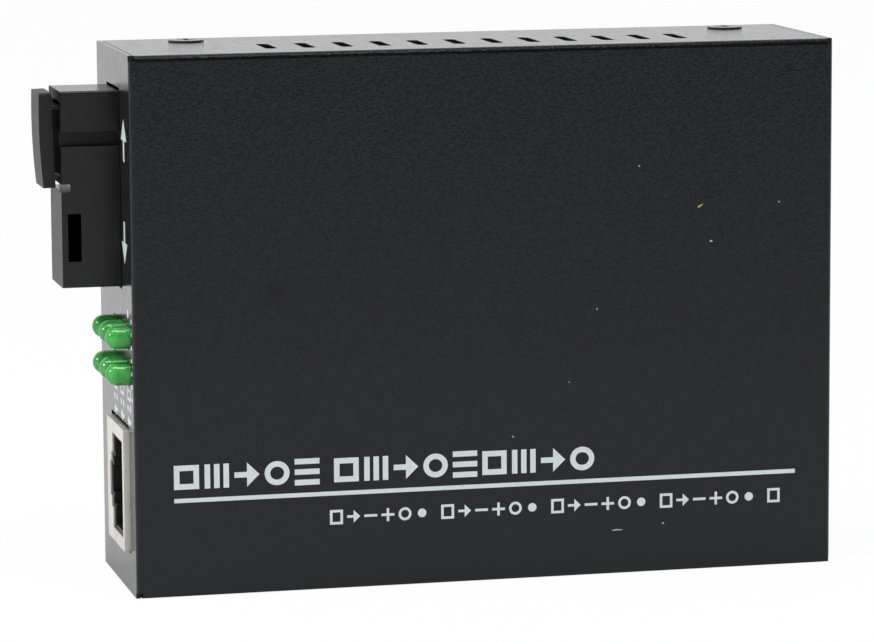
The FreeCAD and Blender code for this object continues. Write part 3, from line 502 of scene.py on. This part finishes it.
class ConverterStage(bpy.types.PropertyGroup):
    """Camera and light."""

    focal_pixels: bpy.props.FloatProperty(
        name="Focal length", description="Focal length in pixels of an image 874 pixels wide", default=4334.0,
    )
    azimuth: bpy.props.FloatProperty(
        name="Azimuth", description="Turn of the camera round the converter, 0 in front of the printed face",
        default=math.radians(-13.29), subtype="ANGLE",
    )
    elevation: bpy.props.FloatProperty(
        name="Elevation", description="Height of the camera over the horizon", default=math.radians(8.30),
        subtype="ANGLE",
    )
    roll: bpy.props.FloatProperty(
        name="Roll", description="Turn of the camera about its own axis", default=math.radians(-0.352),
        subtype="ANGLE",
    )
    distance: bpy.props.FloatProperty(
        name="Distance", description="Distance of the camera from the aiming point", default=562.8 * MM,
        unit="LENGTH",
    )
    aim: bpy.props.FloatVectorProperty(
        name="Aim", description="Point that the camera circles", default=(0.25 * MM, -13.0 * MM, 35.0 * MM),
        subtype="TRANSLATION",
    )
    slide: bpy.props.FloatVectorProperty(
        name="Slide", description="Sideways and upward shift of the camera", size=2,
        default=(-6.99 * MM, -0.68 * MM), subtype="TRANSLATION",
    )
    world_level: bpy.props.FloatProperty(
        name="World level", description="Strength of the light from all round", default=0.48, min=0.0,
    )
    key_power: bpy.props.FloatProperty(
        name="Key power", description="Power of the large lamp overhead", default=9.0, min=0.0, unit="POWER",
    )
    glint_power: bpy.props.FloatProperty(
        name="Glint power", description="Power of the small lamp at the side", default=2.5, min=0.0,
        unit="POWER",
    )


# Pieces


def bar(u0, u1, v0, v1):
    """The four corners of a flat rectangle."""
    return np.array([(u0, v0), (u1, v0), (u1, v1), (u0, v1)])


def disc(u, v, radius, count=36):
    """A circle: its centre plus radius times cosine and sine of evenly spread angles."""
    turn = np.linspace(0, 2 * math.pi, count, endpoint=False)
    return np.stack([u + radius * np.cos(turn), v + radius * np.sin(turn)], axis=1)


def hollow(u, v, width, height, stroke, count, phase=0.0):
    """Outer and inner outline of a frame of this stroke: an ellipse, or a polygon of few corners."""
    turn = np.linspace(0, 2 * math.pi, count, endpoint=False) + phase
    round_way = np.stack([np.cos(turn), np.sin(turn)], axis=1)
    reach = np.abs(round_way).max(axis=0)
    half = np.array([width, height]) / 2
    outer = round_way / reach * half
    inner = outer - round_way * stroke / math.cos(math.pi / count)
    return outer + (u, v), inner + (u, v)


def plus(u, v, size, stroke):
    """The twelve corners of an upright cross."""
    far, near = size / 2, stroke / 2
    quarter = np.array([(far, -near), (far, near), (near, near)])
    turned = [quarter, quarter[:, ::-1] * (-1, 1), -quarter, quarter[:, ::-1] * (1, -1)]
    return np.concatenate(turned) + (u, v)


def arrow(u, v, length, size, stroke, way=(1.0, 0.0)):
    """A pointed arrow about its middle, along a way: a shaft of this stroke and a head half as long."""
    half, shaft = size / 2, stroke / 2
    points = np.array([
        (-length / 2, -shaft), (0, -shaft), (0, -half), (length / 2, 0), (0, half), (0, shaft),
        (-length / 2, shaft),
    ])
    along = np.array(way)
    across = np.array([-along[1], along[0]])
    return points[:, :1] * along + points[:, 1:] * across + (u, v)


def printed_piece(name, shapes, place, lift, material):
    """Thin closed plates of flat outlines, or of frames given as outer and inner outline."""
    points, faces, start = [], [], 0
    for shape in shapes:
        loops = shape if isinstance(shape, tuple) else (shape,)
        count = len(loops[0])
        for outline in loops:
            for height in (-lift, lift):
                points.append(place(outline[:, 0], outline[:, 1], np.full(count, height)))
        index = np.arange(count)
        ahead = (index + 1) % count
        low, high = start + index, start + count + index
        low_next, high_next = start + ahead, start + count + ahead
        faces += np.stack([low, low_next, high_next, high], axis=1).tolist()
        if len(loops) == 1:
            faces += [low[::-1].tolist(), high.tolist()]
        else:
            shift = 2 * count
            low_in, next_in = low + shift, low_next + shift
            top_in, top_next_in = high + shift, high_next + shift
            faces += np.stack([low_next, low, low_in, next_in], axis=1).tolist()
            faces += np.stack([high, high_next, top_next_in, top_in], axis=1).tolist()
            faces += np.stack([next_in, low_in, top_in, top_next_in], axis=1).tolist()
        start += 2 * count * len(loops)
    return new_piece(name, np.concatenate(points), faces, material)


def on_face(u, v, height):
    """Points on the printed face: u from the front edge, v from the underside."""
    return np.stack([PANEL_X + u, FACE_Y - height, v], axis=1)


def on_panel(u, v, height):
    """Points on the front panel: u from the printed face, v from the underside."""
    return np.stack([PANEL_X - height, FACE_Y + u, v], axis=1)


class CONVERTER_OT_case(bpy.types.Operator):
    """Coats the cover and the chassis and blackens the cover's screws"""

    bl_idname = "converter.case"
    bl_label = "Case"

    def execute(self, context):
        settings = context.scene.converter_finish
        dress(["cover", "chassis"], coat_material(settings))
        dress(["cover_screws"], moulded_material("black_screw", (0.02, 0.02, 0.02), 0.2, 0.3 * MM, 0.0))
        return {"FINISHED"}


class CONVERTER_OT_optics(bpy.types.Operator):
    """Finishes the optical module, its ferrule holder and the dust plug"""

    bl_idname = "converter.optics"
    bl_label = "Optical module"

    def execute(self, context):
        settings = context.scene.converter_finish
        dress(["optic_housing"], module_material(settings))
        dress(["dust_plug"], plug_material(settings))
        sleeve = moulded_material("sleeve_plastic", (0.42, 0.42, 0.4), 0.3, 0.3 * MM, 0.003 * MM)
        dress(["ferrule_holder"], sleeve)
        return {"FINISHED"}


class CONVERTER_OT_lamps(bpy.types.Operator):
    """Puts smooth lamp bodies in place of the six lamps"""

    bl_idname = "converter.lamps"
    bl_label = "Lamps"

    def execute(self, context):
        resin = resin_material(context.scene.converter_finish)
        for name in LAMPS:
            self.lamp(name, resin)
        return {"FINISHED"}

    def lamp(self, name, resin):
        """A lamp body turned about X: flange, straight wall, then a quarter circle up to the tip."""
        low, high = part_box(name)
        centre = (low + high) / 2
        radius, flange, flange_thick = 1.5 * MM, 1.8 * MM, 1.0 * MM
        bend_rows, sides = 16, 48
        flange_end = high.x - flange_thick
        shoulder = low.x + radius
        bend = np.linspace(0, math.pi / 2, bend_rows)[1:-1]
        along = np.concatenate([
            [high.x, flange_end, flange_end, shoulder], shoulder - radius * np.sin(bend),
        ])
        out = np.concatenate([[flange, flange, radius, radius], radius * np.cos(bend)])
        turn = np.linspace(0, 2 * math.pi, sides, endpoint=False)
        x = np.repeat(along[:, None], len(turn), axis=1)
        y = centre.y + out[:, None] * np.cos(turn)[None, :]
        z = centre.z + out[:, None] * np.sin(turn)[None, :]
        points = np.stack([x, y, z], axis=-1).reshape(-1, 3)
        tip = np.array([[low.x, centre.y, centre.z]])
        count, rows = len(turn), len(along)
        faces = [face[::-1] for face in grid_faces(rows, count)]
        faces.append(list(range(count)))
        last = (rows - 1) * count
        faces += [[last + (i + 1) % count, last + i, rows * count] for i in range(count)]
        piece = new_piece(name + "_body", np.concatenate([points, tip]), faces, resin, smooth_angle=40)
        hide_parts(name)


class CONVERTER_OT_jack(bpy.types.Operator):
    """Plates the network jack's shield and contacts and moulds its insert"""

    bl_idname = "converter.jack"
    bl_label = "Network jack"

    def execute(self, context):
        settings = context.scene.converter_finish
        plated = metal_material("shield_nickel", settings.shield_colour, 0.32, (1.0, 1.0, 0.15), 0.55)
        dress(["jack_shield"], plated)
        # The insert's colour gets painted shade in its recesses, within 6 mm.
        insert = moulded_material(
            "insert_plastic", (0.013, 0.0155, 0.018), 0.38, 0.3 * MM, 0.006 * MM, 0.1, 0.3, 6 * MM,
        )
        dress(["jack_insert"], insert)
        dress(["jack_contacts"], metal_material("gold_contact", (0.83, 0.6, 0.25), 0.25, (0.2, 1.0, 1.0)))
        return {"FINISHED"}


class CONVERTER_OT_inlet(bpy.types.Operator):
    """Finishes the power inlet in the rear panel"""

    bl_idname = "converter.inlet"
    bl_label = "Power inlet"

    def execute(self, context):
        body = moulded_material("inlet_plastic", (0.015, 0.015, 0.015), 0.42, 0.3 * MM, 0.008 * MM)
        dress(["inlet_body"], body)
        plated = metal_material("nickel_pin", (0.68, 0.67, 0.63), 0.28)
        dress(["inlet_pin", "inlet_terminal", "inlet_spring"], plated)
        return {"FINISHED"}


class CONVERTER_OT_inside(bpy.types.Operator):
    """Finishes the circuit board, what stands on it and what carries it"""

    bl_idname = "converter.inside"
    bl_label = "Circuit board"

    def execute(self, context):
        dress(["circuit_board"], board_material())
        dress(["board_standoffs"], metal_material("brass_standoff", (0.75, 0.58, 0.28), 0.32))
        dress(["board_screws"], metal_material("plain_screw", (0.62, 0.61, 0.58), 0.3))
        dress(["led_leads", "optic_pins"], metal_material("tinned_lead", (0.7, 0.7, 0.68), 0.35))
        package = moulded_material("package_black", (0.02, 0.02, 0.021), 0.5, 0.2 * MM, 0.01 * MM)
        dress(["network_transformer", "converter_chip", "memory_chip", "voltage_regulator"], package)
        dress(["power_inductor"], moulded_material("ferrite", (0.05, 0.05, 0.05), 0.65, 0.3 * MM, 0.02 * MM))
        dress(["crystal_can"], metal_material("can_metal", (0.7, 0.7, 0.7), 0.25))
        sleeve = moulded_material("capacitor_sleeve", (0.02, 0.03, 0.08), 0.3, 0.4 * MM, 0.004 * MM)
        dress(["capacitor_1", "capacitor_2"], sleeve)
        holder = moulded_material("holder_plastic", (0.018, 0.018, 0.018), 0.45, 0.3 * MM, 0.01 * MM)
        dress(["led_holder_upper", "led_holder_lower"], holder)
        return {"FINISHED"}


class CONVERTER_OT_printing(bpy.types.Operator):
    """Prints a rule, two rows of plain shapes and the front panel's marks"""

    bl_idname = "converter.printing"
    bl_label = "Printing"

    def execute(self, context):
        ink = ink_material(context.scene.converter_finish)
        sheet = context.scene.converter_print
        lift = 0.015 * MM
        half = sheet.rule_thickness / 2
        rule = bar(sheet.rule_start, sheet.rule_end, sheet.rule_height - half, sheet.rule_height + half)
        printed_piece("printed_rule", [rule], on_face, lift, ink)
        printed_piece("printed_upper_row", self.upper_row(sheet), on_face, lift, ink)
        printed_piece("printed_lower_row", self.lower_row(sheet), on_face, lift, ink)
        printed_piece("panel_marks", self.panel_marks(), on_panel, lift, ink)
        return {"FINISHED"}

    def upper_row(self, sheet):
        """Five and nine bold signs of one height, in turn frame, upright bars, arrow, ring and bars."""
        size = sheet.upper_size
        v = sheet.upper_base + size / 2
        stroke, wide, pitch, second_start = size * 0.23, size * 1.04, size * 1.255, 21.0 * MM
        shapes = []
        places = [i * pitch for i in range(5)] + [second_start + i * pitch for i in range(9)]
        for i, along in enumerate(places):
            u = sheet.rule_start + along + wide / 2
            sign = i % 5
            if sign == 0:
                shapes.append(hollow(u, v, wide, size, stroke, 4, math.pi / 4))
            elif sign == 1:
                shapes += [bar(u + x * stroke, u + (x + 1) * stroke, v - size / 2, v + size / 2)
                           for x in (-2.2, -0.5, 1.2)]
            elif sign == 2:
                shapes.append(arrow(u, v, wide, size, stroke))
            elif sign == 3:
                shapes.append(hollow(u, v, wide, size, stroke, 40))
            else:
                shapes += [bar(u - wide / 2, u + wide / 2, v + y * stroke, v + (y + 1) * stroke)
                           for y in (-2.4, -0.5, 1.4)]
        return shapes

    def lower_row(self, sheet):
        """Slim small signs: frame, arrow, dash, cross, ring and dot, with a gap after every six."""
        size = sheet.lower_size
        v = sheet.lower_base + size / 2
        stroke, wide, pitch = size * 0.14, size * 0.72, size * 0.95
        shapes = []
        u = sheet.lower_start + wide / 2
        i = 0
        while u < sheet.rule_end - wide / 2:
            sign = i % 6
            if sign == 0:
                shapes.append(hollow(u, v, wide, size * 0.8, stroke, 4, math.pi / 4))
            elif sign == 1:
                shapes.append(arrow(u, v, wide, size * 0.7, stroke))
            elif sign == 2:
                shapes.append(bar(u - wide / 2, u + wide / 2, v - stroke / 2, v + stroke / 2))
            elif sign == 3:
                shapes.append(plus(u, v, wide, stroke))
            elif sign == 4:
                shapes.append(hollow(u, v, wide, wide, stroke, 28))
            else:
                shapes.append(disc(u, v, wide / 3, 20))
            u += pitch * (1.5 if sign == 5 else 1.0)
            i += 1
        return shapes

    def panel_marks(self):
        """Two arrows beside the optical module, and frames, ticks and dots round the lamps."""
        length, width, stroke = 5.4 * MM, 4.2 * MM, 1.0 * MM
        shapes = [
            arrow(5.0 * MM, 58.8 * MM, length, width, stroke, (0.0, 1.0)),
            arrow(5.5 * MM, 45.6 * MM, length, width, stroke, (0.0, -1.0)),
        ]
        frame_v, dots_v, arrow_v, discs_v = 26.1 * MM, 24.3 * MM, 22.6 * MM, 36.6 * MM
        for name in LAMPS[3:]:
            u = self.lamp_place(name)
            shapes.append(hollow(u, frame_v, 2.8 * MM, 1.6 * MM, 0.45 * MM, 4, math.pi / 4))
            shapes += [disc(u + side, dots_v, 0.5 * MM, 14) for side in (-0.9 * MM, 0.9 * MM)]
            shapes.append(arrow(u, arrow_v, 3.0 * MM, 1.7 * MM, 0.55 * MM))
        shapes += [disc(self.lamp_place(name), discs_v, 0.6 * MM, 16) for name in LAMPS[:2]]
        ticks, first_tick, tick_pitch, tick_size = 7, 25.5 * MM, 1.7 * MM, 0.5 * MM
        for step in range(ticks):
            v = first_tick + tick_pitch * step
            shapes.append(bar(1.1 * MM, 1.7 * MM, v, v + tick_size))
        return shapes

    def lamp_place(self, name):
        """Distance of a lamp's middle from the printed face."""
        low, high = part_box(name)
        return (low.y + high.y) / 2 - FACE_Y


class CONVERTER_OT_flecks(bpy.types.Operator):
    """Strews the few pale flecks that lie on the printed face"""

    bl_idname = "converter.flecks"
    bl_label = "Flecks"

    def execute(self, context):
        pale = moulded_material("fleck_pale", (0.45, 0.46, 0.44), 0.6, 0.2 * MM, 0.01 * MM)
        straw = moulded_material("fleck_straw", (0.42, 0.34, 0.13), 0.6, 0.2 * MM, 0.01 * MM)
        # Place from the front edge and the underside, half width and half height, in millimetres
        places = [
            (86.1, 48.7, 0.12, 0.1), (76.8, 43.8, 0.2, 0.12), (61.3, 35.4, 0.1, 0.1),
            (57.5, 25.9, 0.07, 0.08), (67.0, 54.0, 0.12, 0.1), (64.0, 5.9, 0.75, 0.09),
            (70.3, 6.5, 0.14, 0.12), (49.9, 19.0, 0.12, 0.12),
        ]
        printed_piece("flecks_pale", [self.fleck(*place) for place in places], on_face, 0.02 * MM, pale)
        printed_piece("fleck_straw", [self.fleck(75.3, 48.5, 0.42, 0.13, 0.5)], on_face, 0.02 * MM, straw)
        return {"FINISHED"}

    def fleck(self, u, v, wide, tall, lean=0.0):
        """A ragged flake: an ellipse whose radius wavers with three and five waves, leaned over."""
        turn = np.linspace(0, 2 * math.pi, 11, endpoint=False)
        waver = 1 + 0.22 * np.cos(3 * turn + u) + 0.15 * np.sin(5 * turn + v)
        x, y = wide * waver * np.cos(turn), tall * waver * np.sin(turn)
        x, y = x * math.cos(lean) - y * math.sin(lean), x * math.sin(lean) + y * math.cos(lean)
        return np.stack([u + x, v + y], axis=1) * MM


class CONVERTER_OT_stage(bpy.types.Operator):
    """Lays the pale floor, hangs the two lamps and sets up the camera"""

    bl_idname = "converter.stage"
    bl_label = "Stage"

    def execute(self, context):
        stage = context.scene.converter_stage
        self.floor()
        self.world(stage)
        self.lamps(stage)
        self.camera(stage)
        context.scene.view_settings.view_transform = "Standard"
        return {"FINISHED"}

    def card(self, name, corners, material):
        """A flat square of the stage."""
        mesh = bpy.data.meshes.new(name)
        mesh.from_pydata(corners, [], [(0, 1, 2, 3)])
        mesh.materials.append(material)
        card = bpy.data.objects.new(name, mesh)
        bpy.context.scene.collection.objects.link(card)

    def white_card(self, name, camera_share, glossy_from, glossy_to):
        """Pale paper, white to the camera and, some way behind, to glossy rays. Clear from its back."""
        paper = {"Base Color": (0.8, 0.8, 0.8, 1.0), "Roughness": 0.9}
        material, tree, shader = new_material(name, paper)
        path = add_node(tree, "ShaderNodeLightPath")
        behind = add_node(tree, "ShaderNodeSeparateXYZ", {"Vector": object_place(tree)}).outputs["Y"]
        behind = spread(tree, behind, glossy_from, glossy_to)
        glossy = calculate(tree, "MULTIPLY", path.outputs["Is Glossy Ray"], behind)
        seen = calculate(tree, "MULTIPLY", path.outputs["Is Camera Ray"], camera_share)
        share = calculate(tree, "MAXIMUM", seen, glossy)
        glow = add_node(tree, "ShaderNodeEmission", {"Color": WHITE, "Strength": 1.0})
        mix = add_node(tree, "ShaderNodeMixShader", {0: share})
        tree.links.new(shader.outputs["BSDF"], mix.inputs[1])
        tree.links.new(glow.outputs["Emission"], mix.inputs[2])
        back = add_node(tree, "ShaderNodeNewGeometry").outputs["Backfacing"]
        one_sided = add_node(tree, "ShaderNodeMixShader", {0: back})
        tree.links.new(mix.outputs["Shader"], one_sided.inputs[1])
        tree.links.new(add_node(tree, "ShaderNodeBsdfTransparent").outputs["BSDF"], one_sided.inputs[2])
        output = next(n for n in tree.nodes if n.type == "OUTPUT_MATERIAL")
        tree.links.new(one_sided.outputs["Shader"], output.inputs["Surface"])
        return material

    def floor(self):
        """A flat pale floor just under the converter, and a pale wall behind that reflections reach."""
        paper = self.white_card("pale_paper", camera_share=0.95, glossy_from=0.0, glossy_to=0.08)
        reach, back, top, level = 6.0, 1.4, 2.5, -0.02 * MM
        foot = [(-reach, back, level), (reach, back, level)]
        self.card("floor", [(-reach, -reach, level), (reach, -reach, level), foot[1], foot[0]], paper)
        self.card("wall", foot + [(reach, back, top), (-reach, back, top)], paper)

    def world(self, stage):
        """An even pale world, white to the camera."""
        world = bpy.data.worlds.new("studio")
        bpy.context.scene.world = world
        world.use_nodes = True
        tree = world.node_tree
        tree.nodes.clear()
        path = add_node(tree, "ShaderNodeLightPath")
        level = calculate(tree, "MAXIMUM", path.outputs["Is Camera Ray"], stage.world_level)
        light = add_node(tree, "ShaderNodeBackground", {"Color": WHITE, "Strength": level})
        output = add_node(tree, "ShaderNodeOutputWorld")
        tree.links.new(light.outputs["Background"], output.inputs["Surface"])

    def lamps(self, stage):
        """A long soft lamp over the converter and a small one before its front panel, for glints."""
        self.lamp("key", stage.key_power, size=(1.1, 0.33), place=(-0.15, -0.25, 1.0))
        self.lamp("glint", stage.glint_power, size=(0.2, 0.2), place=(-0.85, 0.04, 0.43))

    def lamp(self, name, power, size, place):
        """A rectangular lamp that faces the converter, its first side along X."""
        data = bpy.data.lights.new(name, "AREA")
        data.shape = "RECTANGLE"
        data.size, data.size_y = size
        data.energy = power
        lamp = bpy.data.objects.new(name, data)
        bpy.context.scene.collection.objects.link(lamp)
        lamp.location = place
        target = Vector((0, 0, 0.03))
        lamp.rotation_euler = (target - lamp.location).to_track_quat("-Z", "Y").to_euler()

    def camera(self, stage):
        """The camera on a circle round its aim, rolled and slid as the photograph needs."""
        turn, rise, roll = stage.azimuth, stage.elevation, stage.roll
        back = Vector((
            math.sin(turn) * math.cos(rise), -math.cos(turn) * math.cos(rise), math.sin(rise),
        ))
        level = Vector((math.cos(turn), math.sin(turn), 0.0))
        upward = back.cross(level)
        right = math.cos(roll) * level + math.sin(roll) * upward
        up = math.cos(roll) * upward - math.sin(roll) * level
        place = Vector(stage.aim) + back * stage.distance + right * stage.slide[0] + up * stage.slide[1]
        data = bpy.data.cameras.new("camera")
        data.sensor_width = 36.0
        data.lens = stage.focal_pixels / IMAGE_WIDTH * data.sensor_width
        data.clip_start, data.clip_end = 0.01, 50.0
        camera = bpy.data.objects.new("camera", data)
        bpy.context.scene.collection.objects.link(camera)
        axes = Matrix((right, up, back)).transposed()
        camera.matrix_world = Matrix.Translation(place) @ axes.to_4x4()
        bpy.context.scene.camera = camera


class CONVERTER_PT_panel(bpy.types.Panel):
    """Lists the converter's steps and settings."""

    bl_idname = "CONVERTER_PT_panel"
    bl_label = "Fibre Media Converter"
    bl_space_type = "VIEW_3D"
    bl_region_type = "UI"
    bl_category = "Converter"

    def draw(self, context):
        for operator in OPERATORS:
            self.layout.operator(operator.bl_idname)
        for name in SETTINGS:
            group = getattr(context.scene, name)
            for prop in group.bl_rna.properties:
                if prop.identifier not in {"rna_type", "name"}:
                    self.layout.prop(group, prop.identifier)


SETTINGS = {
    "converter_finish": ConverterFinish,
    "converter_print": ConverterPrint,
    "converter_stage": ConverterStage,
}
OPERATORS = (
    CONVERTER_OT_case, CONVERTER_OT_optics, CONVERTER_OT_lamps, CONVERTER_OT_jack, CONVERTER_OT_inlet,
    CONVERTER_OT_inside, CONVERTER_OT_printing, CONVERTER_OT_flecks, CONVERTER_OT_stage,
)


def register():
    """Registers the settings, the operators and the panel."""
    for name, group in SETTINGS.items():
        bpy.utils.register_class(group)
        setattr(bpy.types.Scene, name, bpy.props.PointerProperty(type=group))
    for operator in OPERATORS:
        bpy.utils.register_class(operator)
    bpy.utils.register_class(CONVERTER_PT_panel)


def unregister():
    """Removes them again."""
    bpy.utils.unregister_class(CONVERTER_PT_panel)
    for operator in reversed(OPERATORS):
        bpy.utils.unregister_class(operator)
    for name, group in SETTINGS.items():
        delattr(bpy.types.Scene, name)
        bpy.utils.unregister_class(group)


def main():
    """Dresses the converter."""
    register()
    for operator in OPERATORS:
        getattr(bpy.ops.converter, operator.bl_idname.split(".")[1])()


if __name__ == "__main__":
    main()
